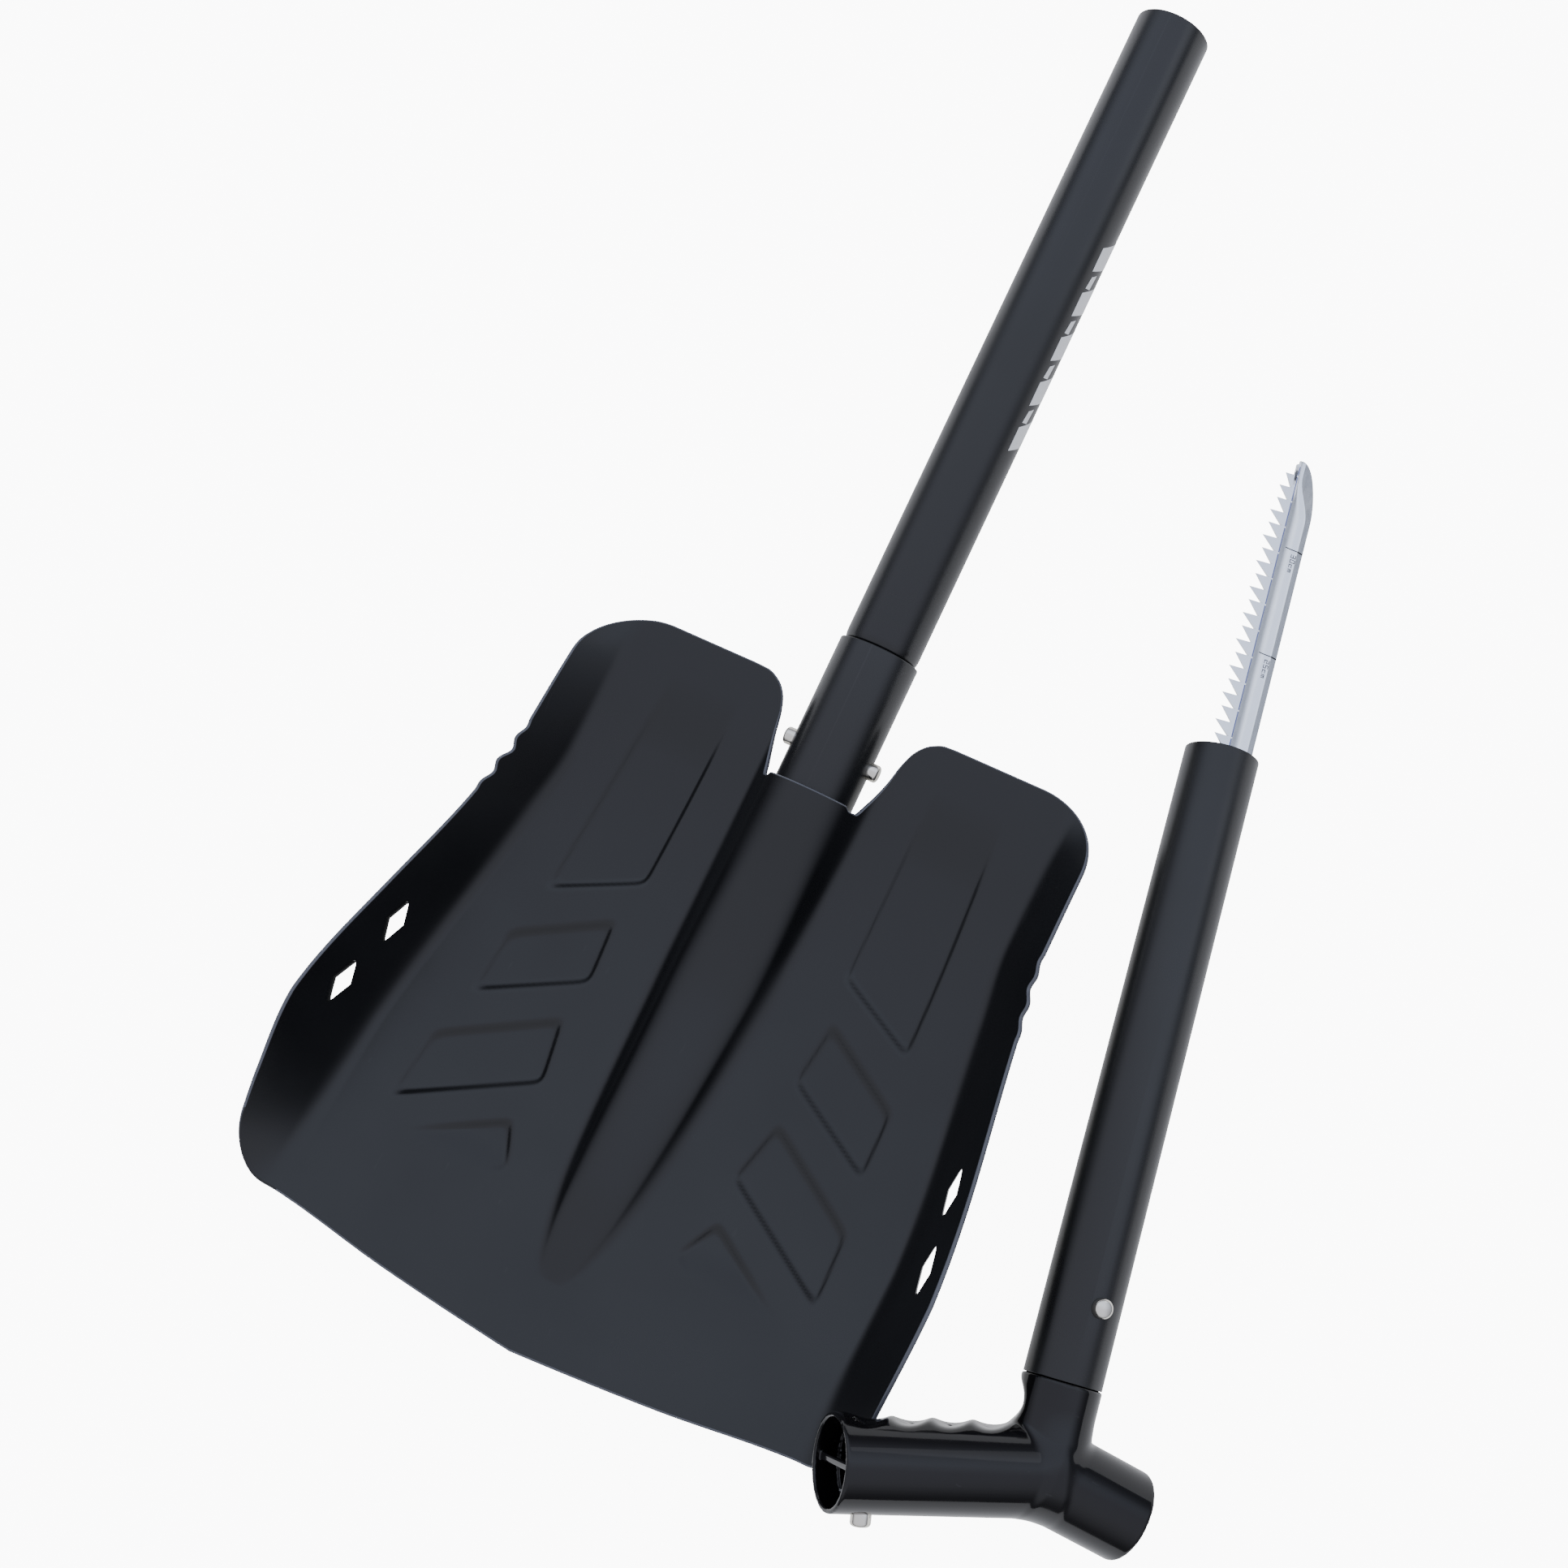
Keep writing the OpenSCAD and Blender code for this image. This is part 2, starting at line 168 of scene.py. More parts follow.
def turned(profile, steps=96, closed=True):
    """Verts and faces of a profile of (radius, along Y) points turned about Y."""
    n = len(profile)
    verts = [(r * math.cos(a), y, r * math.sin(a))
             for a in (2 * math.pi * k / steps for k in range(steps)) for r, y in profile]
    faces = []
    for k in range(steps):
        for i in range(n if closed else n - 1):
            a, b = k * n + i, k * n + (i + 1) % n
            c, d = ((k + 1) % steps) * n + (i + 1) % n, ((k + 1) % steps) * n + i
            faces.append((a, b, c, d))
    if not closed:
        faces.append(tuple(k * n for k in range(steps)))
        faces.append(tuple(k * n + n - 1 for k in reversed(range(steps))))
    return verts, faces


def filleted(points, radii, steps=5, closed=True):
    """The outline with each corner rounded to its radius."""
    out, n = [], len(points)
    for i, p in enumerate(points):
        r = radii[i] if isinstance(radii, (list, tuple)) else radii
        if r <= 0 or (not closed and i in (0, n - 1)):
            out.append(tuple(p))
            continue
        p, a, b = (np.array(q, float) for q in (p, points[i - 1], points[(i + 1) % n]))
        u, v = (a - p) / np.linalg.norm(a - p), (b - p) / np.linalg.norm(b - p)
        half = math.acos(max(-1, min(1, float(u @ v)))) / 2
        back = min(r / math.tan(half), 0.49 * np.linalg.norm(a - p), 0.49 * np.linalg.norm(b - p))
        for k in range(steps + 1):
            t = k / steps
            out.append(tuple((1 - t) ** 2 * (p + u * back) + 2 * t * (1 - t) * p
                             + t * t * (p + v * back)))
    return out


def rod(place, start, end, radius, steps=48):
    verts, faces = turned([(radius, start), (radius, end)], steps, closed=False)
    return loose("cutter", verts, faces, place)


# ---- Materials ------------------------------------------------------------
def material(name, base, metallic, roughness, **sockets):
    m = bpy.data.materials.new(name)
    m.use_nodes = True
    shader = m.node_tree.nodes["Principled BSDF"]
    values = {"Base Color": (*base, 1), "Metallic": metallic, "Roughness": roughness, **sockets}
    for k, v in values.items():
        shader.inputs[k.replace("_", " ")].default_value = v
    return m


def node(m, kind, **values):
    made = m.node_tree.nodes.new(kind)
    for k, v in values.items():
        if k in made.inputs:
            made.inputs[k].default_value = v
        else:
            setattr(made, k, v)
    return made


def wire(m, source, target):
    m.node_tree.links.new(source, target)


def object_space(m):
    return node(m, "ShaderNodeTexCoord").outputs["Object"]


def noise(m, scale, detail=4.0, stretch=None):
    """Noise in the object's own space, drawn out along an axis if asked."""
    n = node(m, "ShaderNodeTexNoise", Scale=scale, Detail=detail)
    if stretch:
        mapping = node(m, "ShaderNodeMapping", Scale=stretch)
        wire(m, object_space(m), mapping.inputs["Vector"])
        wire(m, mapping.outputs["Vector"], n.inputs["Vector"])
    else:
        wire(m, object_space(m), n.inputs["Vector"])
    return n.outputs["Fac"]


def ranged(m, value, low, high, start=0.0, end=1.0):
    r = node(m, "ShaderNodeMapRange")
    wire(m, value, r.inputs["Value"])
    for k, v in (("From Min", start), ("From Max", end), ("To Min", low), ("To Max", high)):
        r.inputs[k].default_value = v
    return r.outputs["Result"]


def mixed(m, factor, a, b):
    mix = node(m, "ShaderNodeMix", data_type="RGBA")
    wire(m, factor, mix.inputs["Factor"])
    for k, v in (("A", a), ("B", b)):
        socket = next(s for s in mix.inputs if s.name == k and s.type == "RGBA")
        if isinstance(v, tuple):
            socket.default_value = (*v, 1)
        else:
            wire(m, v, socket)
    return next(s for s in mix.outputs if s.type == "RGBA")


def bump(m, height, strength, distance):
    shader = m.node_tree.nodes["Principled BSDF"]
    b = node(m, "ShaderNodeBump", Strength=strength, Distance=distance)
    wire(m, height, b.inputs["Height"])
    if shader.inputs["Normal"].links:
        wire(m, shader.inputs["Normal"].links[0].from_socket, b.inputs["Normal"])
    wire(m, b.outputs["Normal"], shader.inputs["Normal"])


def satin_black(name, base, roughness, grain, wear, gloss=0.5):
    """Black anodised aluminium: fine grain, cloudy gloss, hairline scratches and rubbed edges."""
    m = material(name, base, 0.0, roughness, Specular_IOR_Level=gloss)
    shader = m.node_tree.nodes["Principled BSDF"]
    cloud = noise(m, 18, 3)
    wire(m, ranged(m, cloud, roughness - 0.05, roughness + 0.06, 0.3, 0.7), shader.inputs["Roughness"])
    scratches = ranged(m, noise(m, 260, 2, (1.0, 0.06, 1.0)), 0, 1, 0.73, 0.76)
    pointed = node(m, "ShaderNodeNewGeometry").outputs["Pointiness"]
    edges = ranged(m, pointed, 0, 1, 0.56, 0.64)
    worn = tuple(min(1, c * 2.4 + 0.02) for c in base)
    rubbed = mixed(m, ranged(m, edges, 0, wear), base, worn)
    tone = mixed(m, ranged(m, cloud, 0, 0.5, 0.35, 0.75), rubbed, tuple(c * 1.25 for c in base))
    wire(m, mixed(m, ranged(m, scratches, 0, 0.12), tone, worn), shader.inputs["Base Color"])
    bump(m, noise(m, 2600, 3), grain, 0.00002)
    return m


def gloss_plastic(name, base):
    """Injection-moulded gloss black: long soft sink marks and light handling scratches."""
    m = material(name, base, 0.0, 0.1, Specular_IOR_Level=0.36,
                 Coat_Weight=0.1, Coat_Roughness=0.04)
    shader = m.node_tree.nodes["Principled BSDF"]
    wire(m, ranged(m, noise(m, 60, 3), 0.05, 0.14, 0.3, 0.75), shader.inputs["Roughness"])
    scuffs = ranged(m, noise(m, 420, 2, (0.05, 1.0, 1.0)), 0, 0.25, 0.72, 0.76)
    wire(m, mixed(m, scuffs, base, tuple(c * 3 + 0.03 for c in base)), shader.inputs["Base Color"])
    bump(m, noise(m, 35, 2), 0.12, 0.0008)
    return m


def bright_metal(name, base, roughness, brushed=None, marks=1.0):
    """Plated or polished metal with fine lines and faint stains."""
    m = material(name, base, 1.0, roughness)
    shader = m.node_tree.nodes["Principled BSDF"]
    lines = noise(m, 900, 3, brushed or (1.0, 1.0, 1.0))
    finest, coarsest = roughness * (1 - 0.3 * marks), roughness * (1 + 0.5 * marks)
    wire(m, ranged(m, lines, finest, coarsest, 0.3, 0.7), shader.inputs["Roughness"])
    stains = ranged(m, noise(m, 70, 4), 0, 0.35 * marks, 0.55, 0.75)
    wire(m, mixed(m, stains, base, tuple(c * 0.82 for c in base)), shader.inputs["Base Color"])
    bump(m, lines, 0.08 * marks, 0.00003)
    return m


blade_black = satin_black("blade_black", (0.0022, 0.0024, 0.0030), 0.31, 0.15, 0.4)
# Lighter edge colour: the bare cut edge, with a painted highlight along it.
bare_edge_and_highlight = satin_black("bare_edge_and_highlight", (0.09, 0.095, 0.11), 0.3, 0.1, 0.5)
tube_black = satin_black("tube_black", (0.0030, 0.0033, 0.0040), 0.29, 0.12, 0.5, 0.56)
grip_black = gloss_plastic("grip_black", (0.0030, 0.0027, 0.0032))
nickel = bright_metal("nickel", (0.80, 0.77, 0.69), 0.12)
spring_steel = bright_metal("spring_steel", (0.55, 0.56, 0.58), 0.3, (1.0, 0.1, 1.0))
saw_steel = bright_metal("saw_steel", (0.90, 0.94, 1.0), 0.2, (1.0, 0.05, 1.0), 0.3)
ink = material("ink", (0.012, 0.012, 0.015), 0.0, 0.7)
# Dark blue for the painted shade along the saw's fold.
fold_painted_shade = material("fold_painted_shade", (0.16, 0.19, 0.42), 0.6, 0.35)
silver_print = material("silver_print", (0.72, 0.73, 0.74), 0.35, 0.4)


# ---- Blade ----------------------------------------------------------------
def smooth_line(*knots):
    """A smooth curve through the knots that doesn't overshoot between them."""
    x, y = np.array(knots, float).T
    h = np.diff(x)
    d = np.diff(y) / h
    m = np.concatenate(([d[0]], np.zeros(len(d) - 1), [d[-1]]))
    for i in range(1, len(d)):
        if d[i - 1] * d[i] > 0:
            a, b = 2 * h[i] + h[i - 1], h[i] + 2 * h[i - 1]
            m[i] = (a + b) / (a / d[i - 1] + b / d[i])

    def at(t):
        t = np.clip(t, x[0], x[-1])
        i = np.clip(np.searchsorted(x, t) - 1, 0, len(h) - 1)
        u = (t - x[i]) / h[i]
        return (y[i] * (1 + 2 * u) * (1 - u) ** 2 + m[i] * h[i] * u * (1 - u) ** 2
                + y[i + 1] * u * u * (3 - 2 * u) - m[i + 1] * h[i] * u * u * (1 - u))
    return at


def ease(t):
    t = np.clip(t, 0, 1)
    return t * t * (3 - 2 * t)


BLADE_LEN, EAR_LEN, RISE, SHEET = 254.0, 42.6, 62.0, 2.0
SCOOP, EAR_TILT, FILLET, WALL_FROM, WALL_BEND = 15, 0.06, 1.1, 0.835, 0.35
# Past DOME_END of its half width the rib's dome goes on along its tangent.
DOME_END, DOME_DROP, DOME_FALL = 0.95, 0.312, 3.04
# The height of the rib, its half width, the blade's half width and the walls' height, along Y.
rib_up = smooth_line((-226, 0), (-205, 4.2), (-180, 8.2), (-130, 12), (-98, 13.2), (-80, 14.6),
                     (-50, 17.4), (0, 21.2), (60, 22))
rib_wide = smooth_line((-228, 4), (-215, 9), (-190, 14), (-150, 17.5), (-110, 19.5),
                       (-86, 20.5), (0, 21.2), (60, 22))
edge_half = smooth_line((-245, 141), (-218, 141.8), (-166, 144), (-158, 143.5), (-60, 127.4),
                        (-24, 122), (60, 121.5))
edge_up = smooth_line((-256, 4.5), (-240, 9.5), (-225, 16.5), (-200, 29), (-161, 41), (-110, 33),
                      (-57, 23.5), (-24, 21), (17, 15), (30, 10), (43, 3))
# Stamped panels on the right half: corners in turn, and how far up each one fades out.
PANELS = (([(48, 26), (86, 24), (87, -60), (89, -86), (49, -66)], (24, -12)),
          ([(53, -87), (92, -109.5), (93, -137.5), (50, -114)], None),
          ([(52, -133.5), (98, -160.5), (100, -190), (46, -159.5)], None),
          ([(49, -178.5), (95, -205), (80, -222), (40, -196)], (-203, -186)))
PANEL_DEEP, PANEL_CORNER, PANEL_BEVEL, BEVEL_OUTSIDE = 1.9, 1.3, 3.0, 0.4
EDGE_OUT, RIM_STEPS = 0.7, 4
# The two slots in each wall, by their upper corners, and a slot's other corners from there.
SLOTS = ((130.4, -113), (135.0, -143.6))
SLOT_SHAPE, SLOT_CORNER = ((0, 0), (3.1, -11.5), (1.4, -23.5), (-1.6, -12)), 0.8
# The scalloped part of the side edge: its start and length, and one scallop's length and depth.
WAVES_FROM, WAVES_LONG, WAVE_PITCH, WAVE_DEEP = -22, 38, 12.6, 0.85


def panel_depth(x, y):
    """How deep the stamped panels lie at a place."""
    depth = np.zeros_like(x)
    for points, fade in PANELS:
        sides = []
        for (ax, ay), (bx, by) in zip(points, points[1:] + points[:1]):
            length = math.hypot(bx - ax, by - ay)
            sides.append(-((bx - ax) * (y - ay) - (by - ay) * (np.abs(x) - ax)) / length)
        # A soft minimum rounds the panel's corners.
        inside = -PANEL_CORNER * np.log(sum(np.exp(-np.clip(s, -40, 40) / PANEL_CORNER) for s in sides))
        d = PANEL_DEEP * ease(inside / PANEL_BEVEL + BEVEL_OUTSIDE)
        if fade:
            d = d * ease((y - fade[0]) / (fade[1] - fade[0]))
        depth = np.maximum(depth, d)
    return depth


def blade_top(x, y):
    """Height of the sheet's upper face: scoop, rib, walls and panels."""
    t = np.clip(-y / BLADE_LEN, 0, None)
    floor = np.where(y > 0, -EAR_TILT * y, SCOOP * t + (RISE - SCOOP) * t * t)
    # The rib is a dome that runs out in a fillet.
    q, h = np.abs(x) / rib_wide(y), np.maximum(rib_up(y), 0.01)
    dome = h * np.where(q < DOME_END, np.sqrt(np.clip(1 - q * q, 0, 1)),
                        DOME_DROP - DOME_FALL * (q - DOME_END))
    rib = np.maximum(dome, 0) + np.clip(FILLET * h - np.abs(dome), 0, None) ** 2 / (4 * FILLET * h)
    flat = WALL_FROM * edge_half(y)
    f = np.clip((np.abs(x) - flat) / (edge_half(y) - flat), 0, None)
    wall = edge_up(y) * np.where(f < WALL_BEND, f * f / (WALL_BEND * (2 - WALL_BEND)),
                                 (2 * f - WALL_BEND) / (2 - WALL_BEND))
    return floor + rib + wall - panel_depth(x, y)


def arc_end(s, start, drop, power=2.1):
    """How far a rounded corner has fallen at share s, from nothing at `start` to `drop` at 1."""
    t = np.clip((s - start) / (1 - start), 0, 1)
    return drop * (1 - (1 - t ** power) ** (1 / power))


# The outline's upper and lower ends, as Y over the share of the half width.
notch_side = smooth_line((0, 0), (0.150, 0), (0.165, -1.6), (0.185, -1.4), (0.205, 5), (0.232, 17),
                         (0.247, 27), (0.27, 34.5), (0.31, 39.8), (0.36, 42.3), (0.42, EAR_LEN),
                         (1, EAR_LEN))
cutting_edge = smooth_line((0, -BLADE_LEN), (0.06, -253.4), (0.45, -248.6), (0.8, -242.4), (1, -240))


def top_edge(s):
    return notch_side(np.abs(s)) - arc_end(np.abs(s), 0.74, EAR_LEN - 14)


def low_edge(s):
    return cutting_edge(np.abs(s)) + arc_end(np.abs(s), 0.88, 24)


def waves(y):
    """The scallops of the side edge below the ears, swelling in and out."""
    swell = np.sin(np.clip((WAVES_FROM - y) / WAVES_LONG, 0, 1) * math.pi) ** 0.6
    return WAVE_DEEP * swell * np.sin((y - WAVES_FROM) * 2 * math.pi / WAVE_PITCH)


def blade_grid():
    """X and Y of the sheet's points, closer together at the rib, the edges and both ends."""
    across, rows = ((190, 330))
    share = smooth_line((0, 0), (0.10, 0.08), (0.36, 0.26), (0.74, 0.80), (1, 1))
    t = np.linspace(-1, 1, 2 * across + 1)
    a, outer = np.abs(t), 0.2
    inner = 1 - outer
    a = np.where(a > inner, inner + outer * (1 - (1 - (a - inner) / outer) ** 1.5), a)
    s = np.sign(t) * share(a)
    up = np.linspace(0, 1, rows + 1)
    up = up - 0.6 * np.sin(2 * math.pi * up) / (2 * math.pi)
    S, T = np.meshgrid(s, up)
    Y = low_edge(S) + (top_edge(S) - low_edge(S)) * T
    return S * (edge_half(Y) + waves(Y) * np.abs(S) ** 8), Y


def make_blade():
    X, Y = blade_grid()
    Z = blade_top(X, Y)
    e = 0.4
    slope_x = (blade_top(X + e, Y) - blade_top(X - e, Y)) / (2 * e)
    slope_y = (blade_top(X, Y + e) - blade_top(X, Y - e)) / (2 * e)
    normal = np.stack((-slope_x, -slope_y, np.ones_like(Z)), -1)
    normal /= np.linalg.norm(normal, axis=-1, keepdims=True)
    tops = np.stack((X, Y, Z), -1)
    lows = tops - SHEET * normal
    h, w = X.shape
    verts = np.concatenate((tops.reshape(-1, 3), lows.reshape(-1, 3)))
    faces = []
    for j in range(h - 1):
        for i in range(w - 1):
            a, b, c, d = j * w + i, j * w + i + 1, (j + 1) * w + i + 1, (j + 1) * w + i
            faces.append((a, b, c, d))
            faces.append((h * w + d, h * w + c, h * w + b, h * w + a))
    # A half-round edge all the way round.
    loop = ([(0, i) for i in range(w)] + [(j, w - 1) for j in range(1, h)]
            + [(h - 1, i) for i in range(w - 2, -1, -1)] + [(j, 0) for j in range(h - 2, 0, -1)])
    n, rings = len(loop), []
    upper = np.array([tops[p] for p in loop])
    lower = np.array([lows[p] for p in loop])
    middle = (upper + lower) / 2
    along = np.roll(middle, -1, 0) - np.roll(middle, 1, 0)
    out = np.cross(along, upper - lower)
    out /= np.maximum(np.linalg.norm(out, axis=1, keepdims=True), 1e-9)
    rings.append([j * w + i for j, i in loop])
    for k in range(1, RIM_STEPS + 1):
        angle = math.pi * k / (RIM_STEPS + 1)
        ring = middle + (upper - middle) * math.cos(angle) + out * EDGE_OUT * math.sin(angle)
        rings.append(list(range(len(verts), len(verts) + n)))
        verts = np.concatenate((verts, ring))
    rings.append([h * w + j * w + i for j, i in loop])
    for r0, r1 in zip(rings, rings[1:]):
        faces += [(r0[i], r1[i], r1[(i + 1) % n], r0[(i + 1) % n]) for i in range(n)]
    blade = add("blade_sheet", verts, faces, SHOVEL, "blade_unit", ["blade"],
                blade_black, 50)
    # The cut edge gets a lighter colour: the bare cut edge, with a painted highlight along it. The
    # rim's faces come last; some are spared, in case the clean-up has removed as many.
    blade.data.materials.append(bare_edge_and_highlight)
    spared = 40
    for f in blade.data.polygons[-(RIM_STEPS + 1) * n + spared:]:
        f.material_index = 1
    cut(blade, *slot_cutters(), sharp=50)


def slot_cutters():
    """Upright solids in the shape of the slots in both walls."""
    cutters = []
    for side in (-1, 1):
        for x, y in SLOTS:
            hole = filleted([(x + dx, y + dy) for dx, dy in SLOT_SHAPE], SLOT_CORNER, 4)
            pts = [(side * px, py) for px, py in hole]
            m = len(pts)
            faces = [tuple(range(m)), tuple(range(2 * m - 1, m - 1, -1))]
            faces += [(i, (i + 1) % m, m + (i + 1) % m, m + i) for i in range(m)]
            cutters.append(loose("cutter", [(px, py, z) for z in (10, 90) for px, py in pts],
                                 faces, SHOVEL))
    return cutters


# ---- Tubes, springs and buttons -------------------------------------------
def tube_profile(outer, inner, start, end, lip=0.35):
    return filleted([(outer, start), (outer, end), (inner, end), (inner, start)], lip, 3)


def make_socket():
    verts, faces = turned(tube_profile(SOCKET_R, 16.1, -SOCKET_IN, SOCKET_OUT, 0.5), 160)
    socket = add("socket_tube", verts, faces, SHOVEL, "blade_unit", ["socket"], tube_black)
    across = look_along((0, LOCK_AT, 0), (1, 0, 0), (0, 0, 1))
    cut(socket, rod(SHOVEL @ across, -HOLE_REACH, HOLE_REACH, BUTTON_HOLE))


def make_lower_shaft():
    wall, foot = SHAFT_R - SHAFT_BORE, 3
    neck, full = SOCKET_OUT + 0.4, SOCKET_OUT + 4.6
    outer = [(SWAGE_R, foot), (SWAGE_R, neck)]
    outer += [(SWAGE_R + (SHAFT_R - SWAGE_R) * math.sin(a), neck + (full - neck) * (1 - math.cos(a)))
              for a in (math.pi / 2 * k / 8 for k in range(1, 9))]
    outer += [(SHAFT_R, SHAFT_TOP)]
    profile = outer + [(SHAFT_BORE, SHAFT_TOP), (SHAFT_BORE, full + 1),
                       (SWAGE_R - wall, neck), (SWAGE_R - wall, foot)]
    n = len(profile)
    radii = [0.35 if i in (0, n - 5, n - 4, n - 1) else 0 for i in range(n)]
    verts, faces = turned(filleted(profile, radii, 3), 160)
    shaft = add("shaft_tube", verts, faces, SHOVEL, "shaft", ["lower_shaft"], tube_black)
    across = look_along((0, LOCK_AT, 0), (1, 0, 0), (0, 0, 1))
    cut(shaft, rod(SHOVEL @ across, -HOLE_REACH, HOLE_REACH, BUTTON_HOLE))


def make_handle_tube():
    verts, faces = turned(tube_profile(TUBE_R, TUBE_BORE, 0, TUBE_LEN), 160)
    tube = add("handle_tube_skin", verts, faces, HANDLE, "handle_tube", ["upper_shaft"],
               tube_black)
    up = look_along((0, GRIP_BUTTON_AT, 0), (0, 0, 1), (1, 0, 0))
    cut(tube, rod(HANDLE @ up, 5, HOLE_REACH, BUTTON_HOLE))


def make_button(name, place, start, end, body, cad_node):
    """A plated push button: shank, stepped shoulder and a domed head with a small centre pip."""
    r, chamfer, dome, pip, axis_gap = BUTTON_R, 0.5, 1.5, 0.45, 0.01
    shoulder = end - 1.7
    profile = [(axis_gap, start), (r - chamfer, start), (r, start + chamfer), (r, shoulder)]
    profile += [(r - dome + dome * math.cos(a), shoulder + dome * math.sin(a))
                for a in (math.pi / 2 * k / 6 for k in range(1, 7))]
    profile += [(r * pip, end - 0.06), (axis_gap, end)]
    verts, faces = turned(profile, 64, closed=False)
    return add(name, verts, faces, place, body, [cad_node], nickel, 50)


def make_fittings():
    for side, name in ((-1, "left"), (1, "right")):
        place = SHOVEL @ look_along((0, LOCK_AT, 0), (side, 0, 0), (0, 0, 1))
        make_button(name + "_lock_head", place, 13.5, SOCKET_R + BUTTON_OUT,
                    name + "_lock", name + "_lock_button")
    place = HANDLE @ look_along((0, GRIP_BUTTON_AT, 0), (0, 0, 1), (1, 0, 0))
    make_button("grip_button_head", place, 9.7, TUBE_R + 3.8, "grip_lock", "grip_button")
    place = HANDLE @ look_along(ARM_BUTTON_AT, ARM_SQUARE, (0, 0, 1))
    make_button("arm_button_head", place, 10.6, ARM_R + BUTTON_OUT, "arm_lock", "arm_button")
    # The hidden springs, rivets and welds stay as the CAD has them and only take a finish.
    for cad_node, finish in (("lock_spring", spring_steel), ("grip_spring", spring_steel),
                             ("arm_spring", spring_steel), ("saw_rivets", nickel),
                             ("socket_welds", tube_black)):
        piece = frame["nodes"][cad_node]
        piece.data.materials.clear()
        piece.data.materials.append(finish)


# ---- Grip -----------------------------------------------------------------
UPRIGHT = (0, 0, 1)
ARM_LIP, SHORT_LIP, ARM_BLEND = 0.7, 0.9, 4
NECK_R, NECK_LIP, NECK_FLARE, FLARE_FROM, FLARE_LONG, NECK_BLEND = 15.3, 0.7, 1.6, -10, 22, 2.2
GRIP_HALF, HALF_BLEND, EDGE_BLEND = 18.5, 1.5, 0.8
GROOVES, GROOVE_FROM, GROOVE_PITCH, GROOVE_R, GROOVE_DEEP, GROOVE_BLEND = 4, 22, 16.8, 11, 2.9, 1.6
WEB_AT, WEB_HALF, WEB_ROUND = 52.75, (30.9, 1.2, 15.5), 0.3
SPIGOT_R, SPIGOT_ROUND, SPIGOT_BORE, SAW_SLOT_HALF = 13.65, 0.5, 11.5, (10.8, 30, 0.75)
PRESS_HOLE, PRESS_BLEND = 4.05, 0.5


def soft_min(a, b, k):
    """The lesser of two fields, blended where they come within k of each other."""
    h = np.clip(0.5 + 0.5 * (b - a) / k, 0, 1)
    return b * (1 - h) + a * h - k * h * (1 - h)


def soft_max(a, b, k):
    return -soft_min(-a, -b, k)


def rod_field(P, start, end, radius):
    """Signed distance to a capped cylinder."""
    a, b = np.array(start, float), np.array(end, float)
    length = np.linalg.norm(b - a)
    u = (b - a) / length
    q = P - a
    t = q @ u
    r = np.linalg.norm(q - t[..., None] * u, axis=-1) - radius
    e = np.abs(t - length / 2) - length / 2
    return np.minimum(np.maximum(r, e), 0) + np.hypot(np.maximum(r, 0), np.maximum(e, 0))


def line_field(P, point, direction, radius):
    u = np.array(direction, float) / np.linalg.norm(direction)
    q = P - np.array(point, float)
    return np.linalg.norm(q - (q @ u)[..., None] * u, axis=-1) - radius


def box_field(P, centre, axes, half):
    q = P - np.array(centre, float)
    d = np.stack([np.abs(q @ np.array(u, float)) - s for u, s in zip(axes, half)], -1)
    return np.linalg.norm(np.maximum(d, 0), axis=-1) + np.minimum(d.max(-1), 0)


def skin(field, low, high, step):
    """Quads on the zero surface of a field, one vertex in each cell that the surface crosses."""
    grid = [np.arange(a, b + step, step) for a, b in zip(low, high)]
    P = np.stack(np.meshgrid(*grid, indexing="ij"), -1)
    F = field(P)
    shape = F.shape
    total = np.zeros([n - 1 for n in shape] + [3])
    count = np.zeros([n - 1 for n in shape])
    unit = np.eye(3)
    crossings = []
    for ax in range(3):
        a = F[tuple(slice(None, -1) if k == ax else slice(None) for k in range(3))]
        b = F[tuple(slice(1, None) if k == ax else slice(None) for k in range(3))]
        cross = (a < 0) != (b < 0)
        where = np.argwhere(cross)
        t = a[cross] / (a[cross] - b[cross])
        points = P[tuple(where.T)] + t[:, None] * unit[ax] * step
        others = [k for k in range(3) if k != ax]
        for du in (0, 1):
            for dv in (0, 1):
                cell = where.copy()
                cell[:, others[0]] -= du
                cell[:, others[1]] -= dv
                ok = np.all((cell >= 0) & (cell < np.array(shape) - 1), axis=1)
                np.add.at(total, tuple(cell[ok].T), points[ok])
                np.add.at(count, tuple(cell[ok].T), 1)
        crossings.append((ax, where, a[cross] < 0))
    used = count > 0
    index = -np.ones(count.shape, int)
    index[used] = np.arange(used.sum())
    verts = total[used] / count[used][:, None]
    faces = []
    for ax, where, inward in crossings:
        u, v = [k for k in range(3) if k != ax]
        ok = (where[:, u] > 0) & (where[:, v] > 0)
        where, inward = where[ok], inward[ok]
        quad = []
        for du, dv in ((0, 0), (1, 0), (1, 1), (0, 1)):
            cell = where.copy()
            cell[:, u] -= du
            cell[:, v] -= dv
            quad.append(index[tuple(cell.T)])
        quad = np.stack(quad, 1)
        flip = inward ^ (ax == 1)
        quad[flip] = quad[flip][:, ::-1]
        faces += [tuple(int(i) for i in q) for q in quad if q.min() >= 0]
    return verts, faces


